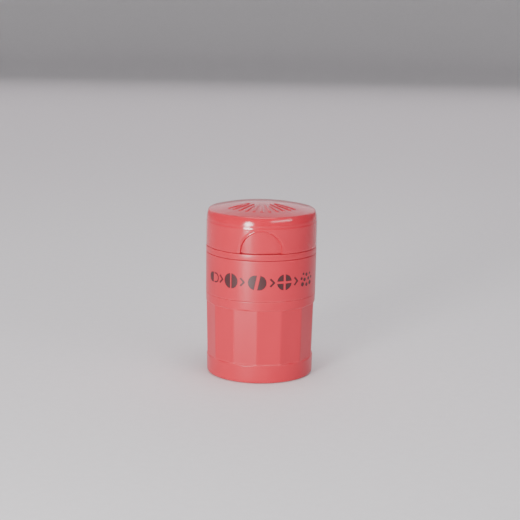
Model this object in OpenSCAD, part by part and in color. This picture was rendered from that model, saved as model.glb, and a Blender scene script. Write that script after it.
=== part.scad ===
// Pill splitter and crusher.
// A domed lid with a blade closes over a V-shaped cradle. Under the cutter is a storage
// compartment, whose lower end is the plunger of a screw-down crusher. The crusher's cup,
// with flats for grip, is the base. Millimetres, +Z up, front at -Y, hinge at +Y, origin at
// the centre of the underside.

/* [Body] */
// Outer diameter at the seam under the lid
body_d = 50; // [48:0.5:54]
// Height of the crushing cup
cup_h = 37.4; // [37:0.2:42]
// Radius that the cup loses from its rim to its foot
cup_taper = 0.85; // [0.4:0.05:1]
// Height of the storage sleeve
sleeve_h = 18.4; // [17:0.2:24]
// Height of the cutter deck's outer band
band_h = 2.75; // [2.6:0.05:3.5]
// Height of the lid's side, up to its rim
lid_h = 16.15; // [16:0.05:20]
// Rise of the lid's dome above its rim
dome_h = 3; // [2.5:0.25:4.5]
// Thickness of the outer walls
wall = 1.9; // [1.8:0.1:2.1]
// Gap at each seam between outer parts
seam = 0.15; // [0.1:0.05:0.25]

/* [Grip flats] */
// Number of flats round the cup
flat_count = 14; // [12:1:18]
// Lower end of the flats
flat_low = 8.6; // [6:0.2:12]
// Upper end of the flats
flat_high = 33.1; // [28:0.1:34]
// Turn of the flats about the axis
flat_turn = -3.3; // [-12:0.1:12]

/* [Lid] */
// Height of the lid's rounded shoulder
shoulder_h = 4.4; // [3:0.2:6]
// Radius of the shoulder's curve
shoulder_r = 11.5; // [9:0.5:16]
// Radius of the rim between shoulder and dome
rim_r = 1; // [0.6:0.1:1.6]
// Half width of the thumb recess
thumb_w = 9.3; // [7:0.1:11]
// Height of the thumb recess
thumb_h = 10.1; // [9.5:0.1:11]
// Depth of the thumb recess
thumb_depth = 1.1; // [0.6:0.1:1.2]
// Number of raised ribs on the dome
rib_count = 11; // [7:2:15]
// Height of the raised ribs
rib_rise = 0.45; // [0.3:0.05:0.8]

/* [Crusher thread] */
// Rise in one turn
pitch = 3; // [2.8:0.1:3.4]
// Height of a ridge above its wall
ridge_h = 0.9; // [0.7:0.1:1]
// Radial gap from a ridge to the other wall
thread_gap = 0.3; // [0.25:0.05:0.4]

/* [Cutter] */
// Full angle of the V that holds the pill
v_angle = 70; // [60:2:80]
// Height of the V's walls
v_h = 6.2; // [5:0.2:6.4]
// Thickness of the blade
blade_t = 0.3; // [0.25:0.05:0.4]
// Length of the blade
blade_l = 20; // [18:0.5:21]

/* [Hinge] */
// Diameter of the hinge pin
pin_d = 2; // [1.6:0.1:2.2]
// Diameter of the hinge knuckles
knuckle_d = 4.4; // [4:0.1:4.6]
// Width of the whole hinge
hinge_w = 18; // [16:0.5:20]

/* [Hidden] */
$fn = 96;

coral = [0.86, 0.37, 0.36];
natural_white = [0.93, 0.92, 0.89];
steel_grey = [0.75, 0.77, 0.80];
rubber_grey = [0.45, 0.46, 0.48];
seal_clear = [0.82, 0.84, 0.86];

eps = 0.01;
edge_r = 0.35;          // rounding of the outer seams
slip = 0.1;             // gap between pieces fixed to each other
body_r = body_d / 2;

// Heights of the seams, from the underside up
sleeve_low = cup_h + seam;
sleeve_top = cup_h + sleeve_h;
band_low = sleeve_top + seam;
band_top = band_low + band_h;
lid_low = band_top + seam;
rim_z = lid_low + lid_h;
top_z = rim_z + dome_h;

// Crushing cup
cup_top_r = body_r - 0.2;
cup_foot_r = cup_top_r - cup_taper;
foot_round = 1.2;
floor_t = 2.2;
shell_bore_r = cup_foot_r - wall + 0.25;
groove_in = 14;         // ring groove in the underside
groove_out = 19;
groove_depth = 0.6;

// Crusher: liner bore, plunger and thread
thread_wall_r = shell_bore_r - 1.8;             // wall that carries the liner's ridges
plunger_wall_r = thread_wall_r - ridge_h - thread_gap;
chamber_r = plunger_wall_r - 1;                 // bore of the crushing chamber
plunger_r = chamber_r - 0.3;
chamber_floor = 7.5;
chamber_top = 24.5;
thread_low = chamber_top + 1.7;
tooth_h = 0.9;
tooth_gap = 0.5;                                // between the two sets of teeth, screwed down
plate_low = chamber_floor + 2 * tooth_h + tooth_gap;
plate_t = 1.5;
plunger_low = plate_low + plate_t;
ridge_base_w = 1.8;
ridge_crest_w = 1.0;
ridge_bury = 0.4;
thread_facets = 48;                             // steps of a thread in one turn
male_z = 27.5;                                  // height of the plunger's ridge at its low end
male_turns = 2.75;
female_turns = 2.1;

// Plunger seal
seal_r = 0.85;
seal_z = plunger_low + 1.7;
seal_groove_h = 2 * seal_r + 0.3;
seal_floor_r = chamber_r - 2 * seal_r - 0.2;

// Storage compartment
sleeve_in_r = body_r - wall - 0.05;
store_out_r = sleeve_in_r - slip;
store_r = plunger_r - 1.9;                      // lower part, inside the plunger
mouth_r = store_out_r - 1.9;                    // upper part, where the cutter deck plugs in
store_floor = plunger_low + 4.7;
store_step = cup_h + 0.1;
stub_r = 3;

// Cutter deck
deck_top = band_top - 0.7;
deck_t = 1.8;
neck_r = mouth_r - 0.3;
neck_in_r = neck_r - 2.3;
neck_low = band_low - 6;
ring_r = 0.67;                                  // section radius of the storage seal
ring_z = band_low - 3.7;
ring_floor_r = mouth_r - 2 * ring_r - 0.06;
spigot_r = body_r - wall - 0.2;
spigot_in_r = spigot_r - 1.4;
spigot_top = band_top + 2.1;
latch_angle = 32;                               // catches on both sides of the thumb recess
latch_r = 0.35;
latch_z = band_top + 1.2;

// Hinge
hinge_y = body_r + 0.2;
hinge_z = band_top + seam / 2;
knuckle_r = knuckle_d / 2;
knuckle_clear = 0.3;
lid_knuckle_w = 9.8;
knuckle_side_gap = 0.1;
pin_fixed_gap = 0.02;
pin_run_gap = 0.08;

// Cradle
disc_t = 1.2;
disc_top = deck_top + disc_t;
seat_z = disc_top + 0.6;
v_tip_y = -10;
v_arm_l = 19;
v_arm_t = 2.4;
slot_w = 1;
pad_t = 1;
pad_from = 3;
pad_to = 16;
post_r = 1.5;
post_pos = [14, 10];
post_l = 1.2;

// Blade and its holder
blade_front = -11;
blade_edge_z = seat_z - 0.4;
blade_bevel = 1.4;
holder_low = disc_top + v_h + 0.6;
holder_side = 3.2;
flange_low = holder_low + 4.1;
flange_t = 1.6;
flange_top = flange_low + flange_t;
peg_r = 1.2;
peg_z = holder_low + 2.1;
peg_y = [-5.5, 4.5];
screw_x = 9;
screw_r = 1.1;
screw_head_r = 1.9;
screw_head_h = 1.3;
screw_l = 4.1;          // length past the flange
boss_r = 3;

// Lid outline: shoulder, rim and dome are arcs that meet without a corner
lid_side_r = body_r - 0.15;
dome_edge_r = lid_side_r - 0.85;
dome_r = (dome_edge_r * dome_edge_r + dome_h * dome_h) / (2 * dome_h);
dome_c = [0, top_z - dome_r];
shoulder_c = [lid_side_r - shoulder_r, rim_z - shoulder_h];
lid_top_t = 1.9;
span = norm(shoulder_c - dome_c);
dome_arm = dome_r - rim_r;
shoulder_arm = shoulder_r - rim_r;
rim_turn = acos((dome_arm * dome_arm + span * span - shoulder_arm * shoulder_arm)
    / (2 * span * dome_arm));
dome_turn = atan2(shoulder_c.y - dome_c.y, shoulder_c.x) - rim_turn;
rim_c = dome_c + dome_arm * [cos(dome_turn), sin(dome_turn)];
shoulder_turn = atan2(rim_c.y - shoulder_c.y, rim_c.x - shoulder_c.x);

// Points on an arc from angle a0 to a1, in n steps
function arc(c, r, a0, a1, n) =
    [for (i = [0:n]) let (a = a0 + (a1 - a0) * i / n) c + r * [cos(a), sin(a)]];

// Radius of the cup's outside at height z
function cup_r(z) = cup_foot_r + cup_taper * z / cup_h;

// Radius of a male ridge is positive, of a female ridge inwards
function ridge_width(depth, full) =
    ridge_base_w - (ridge_base_w - ridge_crest_w) * depth / full;

// Draws a profile of [distance, height] points as a bar along X, centred
module bar_x(width, points) {
    rotate([90, 0, 90])
        linear_extrude(width, center = true)
            polygon(points);
}

// A cylinder along X on the hinge axis
module on_hinge(r, width) {
    translate([0, hinge_y, hinge_z])
        rotate([0, 90, 0])
            cylinder(r = r, h = width, center = true);
}

// A right-hand helical ridge on a wall of radius wall_r; side is 1 outwards and -1 inwards.
// The ridge rises out of the wall at its ends.
module ridge(wall_r, side, z0, turns) {
    steps = round(turns * thread_facets);
    run = 4;
    rings = [for (i = [0:steps])
        let (
            a = 360 * i / thread_facets,
            z = z0 + pitch * i / thread_facets,
            share = min(1, i / run, (steps - i) / run),
            depth = -ridge_bury / 2 + (ridge_h + ridge_bury / 2) * share,
            r_in = wall_r - side * ridge_bury,
            r_out = wall_r + side * depth,
            w_in = ridge_width(-ridge_bury, ridge_h) / 2,
            w_out = ridge_width(depth, ridge_h) / 2
        )
        for (p = [[r_in, -w_in], [r_out, -w_out], [r_out, w_out], [r_in, w_in]])
            [p.x * cos(a), p.x * sin(a), z + p.y]
    ];
    last = 4 * steps;
    sides = [for (i = [0:steps - 1]) for (k = [0:3])
        let (
            a = 4 * i + k,
            b = 4 * i + (k + 1) % 4
        )
        each [[a, a + 4, b + 4], [a, b + 4, b]]
    ];
    ends = [[0, 1, 2], [0, 2, 3], [last, last + 2, last + 1], [last, last + 3, last + 2]];
    faces = [for (f = concat(sides, ends)) side < 0 ? f : [f[0], f[2], f[1]]];
    polyhedron(points = rings, faces = faces, convexity = 10);
}

// Radial crushing teeth that stand on z = 0
module teeth(count, r_from, r_to) {
    for (i = [0:count - 1])
        rotate([0, 0, i * 360 / count])
            translate([0, (r_from + r_to) / 2, 0])
                rotate([90, 0, 0])
                    linear_extrude(r_to - r_from, center = true)
                        polygon([[-0.8, -eps], [0.8, -eps], [0.3, tooth_h], [-0.3, tooth_h]]);
}

// ---- Crushing cup ----

// Cutting bodies for the flats; a narrow strip of the round outside stays between two flats
module flat_cuts() {
    ridge_extra = 0.03;
    reach = body_r + 2;
    for (i = [0:flat_count - 1])
        rotate([0, 0, -90 + flat_turn + (i + 0.5) * 360 / flat_count])
            rotate([90, 0, 0])
                linear_extrude(12, center = true)
                    let (
                        low = (cup_r(flat_low) + ridge_extra) * cos(180 / flat_count),
                        high = (cup_r(flat_high) + ridge_extra) * cos(180 / flat_count)
                    )
                    polygon([
                        [low, flat_low],
                        [high, flat_high],
                        [reach, flat_high + reach - high],
                        [reach, flat_low - reach + low]
                    ]);
}

module cup_shell() {
    color(coral)
    difference() {
        rotate_extrude()
            polygon(concat(
                [[0, 0]],
                arc([cup_foot_r - foot_round, foot_round], foot_round, -90, 0, 6),
                arc([cup_top_r - edge_r, cup_h - edge_r], edge_r, 0, 90, 4),
                [[shell_bore_r, cup_h], [shell_bore_r, floor_t], [0, floor_t]]
            ));
        flat_cuts();
        translate([0, 0, -eps])
            difference() {
                cylinder(r = groove_out, h = groove_depth + eps);
                translate([0, 0, -eps])
                    cylinder(r = groove_in, h = groove_depth + 3 * eps);
            }
    }
}

module crush_liner() {
    outer = shell_bore_r - slip;
    tube = chamber_r + 1.8;
    top = cup_h - 0.5;
    color(natural_white) {
        rotate_extrude()
            polygon([
                [0, chamber_floor - 2],
                [chamber_r, chamber_floor - 2],
                [chamber_r, floor_t],
                [tube, floor_t],
                [tube, chamber_top - 0.6],
                [outer, chamber_top + 1],
                [outer, top],
                [thread_wall_r + 0.4, top],
                [thread_wall_r, top - 0.4],
                [thread_wall_r, thread_low],
                [chamber_r, chamber_top],
                [chamber_r, chamber_floor],
                [0, chamber_floor]
            ]);
        for (i = [0:7])
            rotate([0, 0, (i + 0.5) * 45])
                translate([tube - 0.4, -0.6, floor_t])
                    cube([outer - tube + 0.3, 1.2, chamber_top - floor_t]);
        translate([0, 0, chamber_floor])
            teeth(12, 4, chamber_r - 1.5);
        translate([0, 0, chamber_floor - eps])
            cylinder(r1 = 2.6, r2 = 1.4, h = tooth_h + eps);
        ridge(thread_wall_r, -1, male_z + pitch / 2, female_turns);
    }
}

// ---- Plunger and storage ----

module plunger_seal() {
    color(seal_clear)
        translate([0, 0, seal_z])
            rotate_extrude()
                translate([chamber_r - 0.1 - seal_r, 0])
                    circle(r = seal_r);
}

module plunger_body() {
    flange_low = sleeve_low;
    groove_low = seal_z - seal_groove_h / 2;
    groove_top = seal_z + seal_groove_h / 2;
    color(coral) {
        rotate_extrude()
            polygon(concat(
                [[0, store_floor]],
                arc([store_r - 1.5, store_floor + 1.5], 1.5, -90, 0, 4),
                [
                    [store_r, store_step],
                    [mouth_r, store_step + 4.5],
                    [mouth_r, sleeve_top - 0.4],
                    [mouth_r + 0.4, sleeve_top],
                    [store_out_r, sleeve_top],
                    [store_out_r, flange_low],
                    [plunger_wall_r, flange_low],
                    [plunger_wall_r, thread_low],
                    [plunger_r, thread_low - 1.1],
                    [plunger_r, groove_top],
                    [seal_floor_r, groove_top],
                    [seal_floor_r, groove_low],
                    [plunger_r, groove_low],
                    [plunger_r, plunger_low],
                    [plunger_r - 4, plunger_low],
                    [plunger_r - 4, plunger_low + 2.3],
                    [stub_r + 1.5, plunger_low + 2.3],
                    [stub_r + 1.5, plunger_low],
                    [stub_r + 0.05, plunger_low],
                    [stub_r + 0.05, store_floor - 1],
                    [0, store_floor - 1]
                ]
            ));
        ridge(plunger_wall_r, 1, male_z, male_turns);
    }
}

module crush_plate() {
    rim = plunger_r - 4 - slip;
    color(natural_white) {
        translate([0, 0, plate_low])
            cylinder(r = plunger_r - 0.2, h = plate_t);
        translate([0, 0, plate_low + plate_t - eps])
            cylinder(r = stub_r, h = 3.4);
        translate([0, 0, plate_low + plate_t - eps])
            difference() {
                cylinder(r = rim, h = 1.8);
                translate([0, 0, -1])
                    cylinder(r = rim - 1.4, h = 4);
            }
        translate([0, 0, plate_low])
            mirror([0, 0, 1])
                teeth(9, 2, plunger_r - 1.2);
    }
}

module storage_sleeve() {
    color(coral)
        rotate_extrude()
            polygon(concat(
                [[sleeve_in_r, sleeve_low]],
                arc([body_r - 0.12 - edge_r, sleeve_low + edge_r], edge_r, -90, 0, 4),
                arc([body_r - edge_r, sleeve_top - edge_r], edge_r, 0, 90, 4),
                [[sleeve_in_r, sleeve_top]]
            ));
}

// ---- Cutter base ----

// Catches on both sides of the front, grown by extra
module catches(extra) {
    half = 4 + 3 * extra;
    for (side = [-1, 1])
        rotate([0, 0, -90 + side * latch_angle - half])
            rotate_extrude(angle = 2 * half)
                translate([spigot_r, latch_z])
                    circle(r = latch_r + extra, $fn = 32);
}

module cutter_deck() {
    groove_low = ring_z - ring_r - 0.15;
    groove_top = ring_z + ring_r + 0.15;
    ear_w = (hinge_w - lid_knuckle_w) / 2 - knuckle_side_gap;
    color(coral)
    difference() {
        union() {
            rotate_extrude()
                polygon(concat(
                    [
                        [0, deck_top - deck_t],
                        [neck_in_r, deck_top - deck_t],
                        [neck_in_r, neck_low],
                        [neck_r - 0.4, neck_low],
                        [neck_r, neck_low + 0.4],
                        [neck_r, groove_low],
                        [ring_floor_r, groove_low],
                        [ring_floor_r, groove_top],
                        [neck_r, groove_top],
                        [neck_r, band_low]
                    ],
                    arc([body_r - edge_r, band_low + edge_r], edge_r, -90, 0, 4),
                    arc([body_r - edge_r, band_top - edge_r], edge_r, 0, 90, 4),
                    [
                        [spigot_r, band_top],
                        [spigot_r, spigot_top - 0.4],
                        [spigot_r - 0.4, spigot_top],
                        [spigot_in_r, spigot_top],
                        [spigot_in_r, deck_top],
                        [0, deck_top]
                    ]
                ));
            for (side = [-1, 1])
                translate([side * (hinge_w - ear_w) / 2, 0, 0]) {
                    on_hinge(knuckle_r, ear_w);
                    bar_x(ear_w, [
                        [hinge_y + knuckle_r, hinge_z],
                        [hinge_y - knuckle_r, hinge_z],
                        [body_r - 2.1, band_low],
                        [body_r - 0.4, band_low]
                    ]);
                }
            catches(0);
        }
        on_hinge(knuckle_r + knuckle_clear, lid_knuckle_w + 2 * knuckle_side_gap);
        bar_x(lid_knuckle_w + 2 * knuckle_side_gap, [
            [hinge_y - knuckle_r - knuckle_clear, band_low - 1],
            [hinge_y + 2, band_low - 1],
            [hinge_y + 2, hinge_z],
            [hinge_y - knuckle_r - knuckle_clear, hinge_z]
        ]);
        on_hinge(pin_d / 2 + pin_fixed_gap, hinge_w + 2);
        for (side = [-1, 1])
            translate([side * post_pos.x, post_pos.y, deck_top - post_l - slip])
                cylinder(r = post_r + 0.05, h = 5);
    }
}

module storage_seal() {
    color(seal_clear)
        translate([0, 0, ring_z])
            rotate_extrude()
                translate([ring_floor_r + ring_r + eps, 0])
                    circle(r = ring_r);
}

// One arm of the V: along is the direction from its tip, out is away from the pill
function v_along() = [sin(v_angle / 2), cos(v_angle / 2)];
function v_out() = [cos(v_angle / 2), -sin(v_angle / 2)];
function v_tip() = [0, v_tip_y];

module pill_cradle() {
    arm_end = v_tip() + v_arm_l * v_along();
    color(natural_white)
    difference() {
        union() {
            translate([0, 0, deck_top])
                cylinder(r = spigot_in_r - 0.6, h = disc_t);
            for (side = [0, 1])
                mirror([side, 0, 0]) {
                    translate([0, 0, deck_top + eps])
                        linear_extrude(disc_t + v_h)
                            polygon([
                                v_tip(),
                                arm_end,
                                arm_end + v_arm_t * v_out(),
                                [0, v_tip_y - v_arm_t / sin(v_angle / 2)]
                            ]);
                    translate([0, 0, deck_top + eps])
                        linear_extrude(seat_z - deck_top - eps)
                            polygon([[0, v_tip_y - 1], arm_end, [0, arm_end.y]]);
                    translate([post_pos.x, post_pos.y, deck_top - post_l])
                        cylinder(r = post_r, h = post_l + disc_t / 2);
                }
        }
        translate([-slot_w / 2, -spigot_r, seat_z - 0.9])
            cube([slot_w, spigot_r + arm_end.y + 3, v_h + 4]);
    }
}

// Soft pad on the right arm of the V, with grip ribs across it
module cradle_grip() {
    face = v_tip() + pad_from * v_along();
    color(rubber_grey)
        translate([0, 0, seat_z + 0.1])
            linear_extrude(v_h - 1.2)
                difference() {
                    polygon([
                        face,
                        face + (pad_to - pad_from) * v_along(),
                        face + (pad_to - pad_from) * v_along() - pad_t * v_out(),
                        face - pad_t * v_out()
                    ]);
                    for (i = [1:9])
                        translate(face + i * (pad_to - pad_from) / 10 * v_along()
                            - (pad_t + 0.05) * v_out())
                            rotate(45 - v_angle / 2)
                                square(0.5, center = true);
                }
}

module cradle_grip_right() {
    cradle_grip();
}

module cradle_grip_left() {
    mirror([1, 0, 0])
        cradle_grip();
}

module hinge_pin() {
    color(steel_grey)
        on_hinge(pin_d / 2, hinge_w);
}

// ---- Lid ----

// The lid's outer form as a solid, standing rise above the dome
module lid_form(rise) {
    rotate_extrude()
        polygon(concat(
            [[0, lid_low], [body_r - edge_r, lid_low]],
            arc([body_r - edge_r, lid_low + edge_r], edge_r, -90, 0, 4),
            arc(shoulder_c, shoulder_r, 0, shoulder_turn, 8),
            arc(rim_c, rim_r, shoulder_turn, dome_turn, 6),
            arc(dome_c, dome_r + rise, dome_turn, 90, 10)
        ));
}

// The space inside the lid
module lid_hollow() {
    inner_r = body_r - wall;
    corner = [inner_r - 2, rim_z - 3.6];
    dome_end = acos(corner.x / (dome_r - lid_top_t));
    rotate_extrude()
        polygon(concat(
            [[0, lid_low - 1], [inner_r, lid_low - 1]],
            arc(corner, 2, 0, 70, 5),
            arc(dome_c, dome_r - lid_top_t, dome_end, 90, 8)
        ));
}

// Arch-shaped recess for a thumb at the front, with a gap below it for the nail
module thumb_recess() {
    straight = thumb_h - thumb_w;
    difference() {
        rotate([90, 0, 0])
            linear_extrude(body_r + 1)
                union() {
                    translate([-thumb_w, lid_low - 1])
                        square([2 * thumb_w, straight + 1]);
                    translate([0, lid_low + straight])
                        circle(r = thumb_w);
                }
        translate([0, 0, lid_low + 0.45])
            cylinder(r = body_r - thumb_depth, h = lid_h);
        translate([0, 0, lid_low - 2])
            cylinder(r = body_r - wall - 1, h = 3);
    }
}

// A fan of raised ribs across the front of the dome
module dome_ribs() {
    spread = 116;
    intersection() {
        for (i = [0:rib_count - 1])
            let (turn = spread * (i / (rib_count - 1) - 0.5), inner = i % 2 == 0 ? 6.5 : 9)
            rotate([0, 0, turn])
                translate([-0.55, -17.5, rim_z - 1])
                    cube([1.1, 17.5 - inner, dome_h + 3]);
        difference() {
            translate([0, 0, dome_c.y])
                sphere(r = dome_r + rib_rise, $fn = 128);
            translate([0, 0, dome_c.y])
                sphere(r = dome_r - 0.6, $fn = 128);
        }
        translate([0, 0, rim_z - 2])
            cylinder(r = body_r, h = dome_h + 4);
    }
}

module lid_shell() {
    ear_w = (hinge_w - lid_knuckle_w) / 2 + knuckle_side_gap;
    color(coral)
    difference() {
        union() {
            difference() {
                lid_form(0);
                lid_hollow();
            }
            intersection() {
                lid_form(0);
                union() {
                    for (side = [-1, 1])
                        translate([side * screw_x, 0, flange_top])
                            cylinder(r = boss_r, h = top_z - flange_top - 1.5);
                    for (i = [0:5])
                        rotate([0, 0, i * 60])
                            translate([screw_x + 1, -0.6, rim_z - 3])
                                cube([body_r - screw_x - 2, 1.2, 4]);
                }
            }
            on_hinge(knuckle_r, lid_knuckle_w);
            bar_x(lid_knuckle_w, [
                [hinge_y - knuckle_r + 0.2, hinge_z],
                [hinge_y + knuckle_r, hinge_z],
                [body_r - 0.3, hinge_z + 5.2],
                [body_r - 1.5, hinge_z + 5.2]
            ]);
            dome_ribs();
        }
        thumb_recess();
        catches(0.1);
        for (side = [-1, 1])
            translate([side * (hinge_w / 2 - ear_w / 2 + knuckle_side_gap / 2 + 0.1), 0, 0])
                on_hinge(knuckle_r + knuckle_clear, ear_w + 0.2);
        on_hinge(pin_d / 2 + pin_run_gap, hinge_w + 2);
        for (side = [-1, 1])
            translate([side * screw_x, 0, flange_top - eps])
                cylinder(r = screw_r + 0.02, h = screw_l + 0.2);
    }
}

// ---- Blade and holder ----

// Runs children along X at each peg
module at_pegs() {
    for (y = peg_y)
        translate([0, y, peg_z])
            rotate([0, 90, 0])
                children();
}

module blade() {
    half = blade_t / 2;
    color(steel_grey)
    difference() {
        translate([0, blade_front + blade_l, 0])
            rotate([90, 0, 0])
                linear_extrude(blade_l)
                    polygon([
                        [0, blade_edge_z],
                        [half, blade_edge_z + blade_bevel],
                        [half, flange_low - slip],
                        [-half, flange_low - slip],
                        [-half, blade_edge_z + blade_bevel]
                    ]);
        at_pegs()
            cylinder(r = peg_r + 0.06, h = 4, center = true);
    }
}

module blade_holder() {
    inner = blade_t / 2 + eps;
    color(natural_white)
    difference() {
        union() {
            translate([-holder_side, blade_front + 0.8, holder_low])
                cube([holder_side - inner, blade_l - 1.6, flange_top - holder_low]);
            linear_extrude_flange();
            at_pegs()
                translate([0, 0, -inner - eps])
                    cylinder(r = peg_r, h = 2.2 + inner);
        }
        for (side = [-1, 1])
            translate([side * screw_x, 0, flange_low - 1])
                cylinder(r = screw_r + 0.15, h = flange_t + 2);
    }
}

// The flange across the holder's top, with round ends at the screws
module linear_extrude_flange() {
    translate([0, 0, flange_low])
        linear_extrude(flange_t)
            union() {
                square([2 * screw_x, 7], center = true);
                for (side = [-1, 1])
                    translate([side * screw_x, 0])
                        circle(r = 3.5);
                translate([-holder_side, blade_front + 0.8])
                    square([2 * holder_side, blade_l - 1.6]);
            }
}

module blade_clamp() {
    inner = blade_t / 2 + eps;
    color(natural_white)
    difference() {
        translate([inner, blade_front + 0.8, holder_low])
            cube([holder_side - inner, blade_l - 1.6, flange_low - holder_low - slip]);
        at_pegs()
            cylinder(r = peg_r + 0.03, h = 2.4);
    }
}

// A self-tapping screw, driven up from under the flange
module blade_screw() {
    color(steel_grey)
    difference() {
        union() {
            translate([0, 0, flange_low - screw_head_h])
                cylinder(r = screw_head_r, h = screw_head_h);
            translate([0, 0, flange_low - eps])
                cylinder(r = screw_r, h = flange_t + screw_l - 0.8);
            translate([0, 0, flange_top + screw_l - 0.8 - eps])
                cylinder(r1 = screw_r, r2 = 0.4, h = 0.8);
        }
        for (turn = [0, 90])
            rotate([0, 0, turn])
                translate([-1.2, -0.25, flange_low - screw_head_h - eps])
                    cube([2.4, 0.5, 0.7]);
    }
}

module blade_screw_left() {
    translate([-screw_x, 0, 0])
        blade_screw();
}

module blade_screw_right() {
    translate([screw_x, 0, 0])
        blade_screw();
}

cup_shell();
crush_liner();
plunger_seal();
plunger_body();
crush_plate();
storage_sleeve();
cutter_deck();
storage_seal();
pill_cradle();
cradle_grip_left();
cradle_grip_right();
hinge_pin();
lid_shell();
blade_holder();
blade_clamp();
blade();
blade_screw_left();
blade_screw_right();
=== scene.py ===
"""Looks for the pill splitter: a coral moulded cylinder with a hinged domed lid, over the CAD frame.

The object's lengths are written in millimetres and turned to metres by MM. Azimuths are in degrees from the
front, positive to the right.
"""

import math

import bmesh
import bpy
from mathutils import Matrix, Vector

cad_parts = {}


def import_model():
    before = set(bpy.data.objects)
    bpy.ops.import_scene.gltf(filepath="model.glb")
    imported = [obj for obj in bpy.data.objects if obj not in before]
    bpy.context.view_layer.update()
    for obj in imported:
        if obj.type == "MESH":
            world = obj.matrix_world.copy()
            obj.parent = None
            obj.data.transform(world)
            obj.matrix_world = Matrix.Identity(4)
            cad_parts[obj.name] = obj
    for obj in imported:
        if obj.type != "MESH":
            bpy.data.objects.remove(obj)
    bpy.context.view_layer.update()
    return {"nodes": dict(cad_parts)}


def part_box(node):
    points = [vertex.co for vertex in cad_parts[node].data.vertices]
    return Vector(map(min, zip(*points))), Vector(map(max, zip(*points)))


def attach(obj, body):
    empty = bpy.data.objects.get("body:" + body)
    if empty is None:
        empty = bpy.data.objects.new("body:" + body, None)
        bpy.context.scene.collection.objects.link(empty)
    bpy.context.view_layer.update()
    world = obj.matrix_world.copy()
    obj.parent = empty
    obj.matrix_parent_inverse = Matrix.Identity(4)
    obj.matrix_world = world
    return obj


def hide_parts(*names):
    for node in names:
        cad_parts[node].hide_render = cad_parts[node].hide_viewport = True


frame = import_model()
MM = 0.001

# ---- Levels and radii, as in the CAD part ----
BODY_R = 25.0
WALL = 1.9
SEAM = 0.15
CUP_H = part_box("cup_shell")[1].z / MM
SLEEVE_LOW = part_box("storage_sleeve")[0].z / MM
SLEEVE_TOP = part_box("storage_sleeve")[1].z / MM
BAND_LOW = SLEEVE_TOP + SEAM
BAND_TOP = BAND_LOW + 2.75
LID_LOW = BAND_TOP + SEAM
RIM_Z = LID_LOW + 16.15
DOME_H = 3.0
TOP_Z = RIM_Z + DOME_H
HINGE_Y = BODY_R + 0.2
HINGE_Z = BAND_TOP + SEAM / 2
KNUCKLE_R = 2.2
HINGE_W = 18.0
LID_KNUCKLE_W = 9.8
PIN_R = 1.0
FLAT_COUNT = 14
FLAT_TURN = -3.3
FLAT_LOW = 8.6
FLAT_HIGH = 33.1
CUP_FOOT_R = 23.95
CUP_TAPER = 0.85
THUMB_W = 9.3
THUMB_H = 10.1
THUMB_DEPTH = 1.1


# ---- Small geometry helpers ----
def smooth(low, high, x):
    t = min(1.0, max(0.0, (x - low) / (high - low)))
    return t * t * (3 - 2 * t)


def soft_min(a, b, k):
    h = min(1.0, max(0.0, 0.5 + 0.5 * (b - a) / k))
    return b + (a - b) * h - k * h * (1 - h)


def arc(cr, cz, r, a0, a1, n):
    out = []
    for i in range(n + 1):
        a = math.radians(a0 + (a1 - a0) * i / n)
        out.append((cr + r * math.cos(a), cz + r * math.sin(a)))
    return out


def line(p, q, step):
    n = max(1, round(math.dist(p, q) / step))
    return [(p[0] + (q[0] - p[0]) * i / n, p[1] + (q[1] - p[1]) * i / n) for i in range(n + 1)]


def tidy(points):
    """Drops points that repeat the one before."""
    out = []
    for p in points:
        if not out or math.dist(out[-1], p) > 0.004:
            out.append(p)
    return out


def stepped(start, step, count):
    return [start + step * i for i in range(count)]


def even(count, start=0.0):
    """Azimuths all round, evenly spaced."""
    return stepped(start, 360 / count, count)


def graded(parts):
    """Azimuths that are dense at the front: parts are (up to, step), for one side."""
    half = [0.0]
    for stop, step in parts:
        n = round((stop - half[-1]) / step)
        base = half[-1]
        half += [base + (stop - base) * (i + 1) / n for i in range(n)]
    return [-a for a in reversed(half[1:-1])] + half


def new_object(name, verts, faces):
    mesh = bpy.data.meshes.new(name)
    mesh.from_pydata(verts, [], faces)
    mesh.update()
    obj = bpy.data.objects.new(name, mesh)
    bpy.context.scene.collection.objects.link(obj)
    return obj


# Edges steeper than this many degrees are shaded sharp.
SHARP = 38.0


def finish_mesh(obj, angle=SHARP):
    """Outward normals, smooth shading, and sharp edges only where faces meet steeply."""
    bm = bmesh.new()
    bm.from_mesh(obj.data)
    bmesh.ops.remove_doubles(bm, verts=bm.verts, dist=1e-7)
    bmesh.ops.recalc_face_normals(bm, faces=bm.faces)
    limit = math.radians(angle)
    for f in bm.faces:
        f.smooth = True
    for e in bm.edges:
        e.smooth = len(e.link_faces) != 2 or e.calc_face_angle(0) < limit
    bm.to_mesh(obj.data)
    bm.free()
    obj.data.update()
    return obj


def lathe(name, profile, azimuths, warp=None, ring=True):
    """A body of revolution from a profile in (radius, height), which runs anticlockwise.

    warp(r, z, azimuth, row) may move a point. ring joins the profile's two ends.
    """
    verts = []
    faces = []
    rows = []
    n = len(azimuths)
    for i, (r, z) in enumerate(profile):
        if r < 1e-6:
            rows.append([len(verts)] * n)
            verts.append((0, 0, z * MM))
            continue
        row = []
        for phi in azimuths:
            rr, zz = warp(r, z, phi, i) if warp else (r, z)
            a = math.radians(phi - 90)
            row.append(len(verts))
            verts.append((rr * math.cos(a) * MM, rr * math.sin(a) * MM, zz * MM))
        rows.append(row)
    pairs = list(zip(rows, rows[1:], strict=False))
    if ring:
        pairs.append((rows[-1], rows[0]))
    for low, high in pairs:
        for j in range(n):
            k = (j + 1) % n
            loop = []
            for v in (low[j], low[k], high[k], high[j]):
                if v not in loop:
                    loop.append(v)
            if len(loop) > 2:
                faces.append(loop)
    return finish_mesh(new_object(name, verts, faces))


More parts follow.
